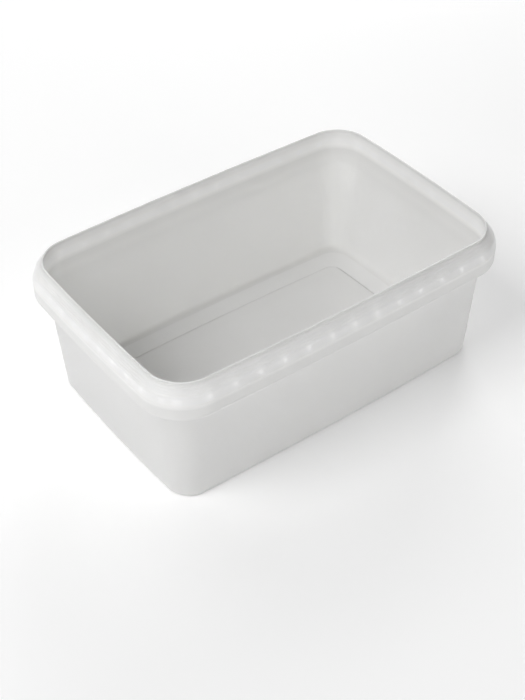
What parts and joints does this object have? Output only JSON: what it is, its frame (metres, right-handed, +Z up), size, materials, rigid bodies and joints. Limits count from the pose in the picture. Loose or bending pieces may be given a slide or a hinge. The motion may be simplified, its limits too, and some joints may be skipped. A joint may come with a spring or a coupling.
{
  "type": "ice cream container",
  "caption": "Open rectangular tub with rounded corners, drafted walls, a raised base panel, and a rim of thin lip, sloping collar and ribbed skirt.",
  "frame": {"origin": "middle of the base, on the surface that the tub stands on", "axes": "+Z up out of the open top, +X along the length, +Y across the width"},
  "size_m": [0.2236, 0.1468, 0.0836],
  "materials": {
    "milky_polypropylene": "milky, slightly see-through polypropylene with a soft shine"
  },
  "bodies": {
    "root": {"tub": "milky_polypropylene"}
  },
  "joints": []
}
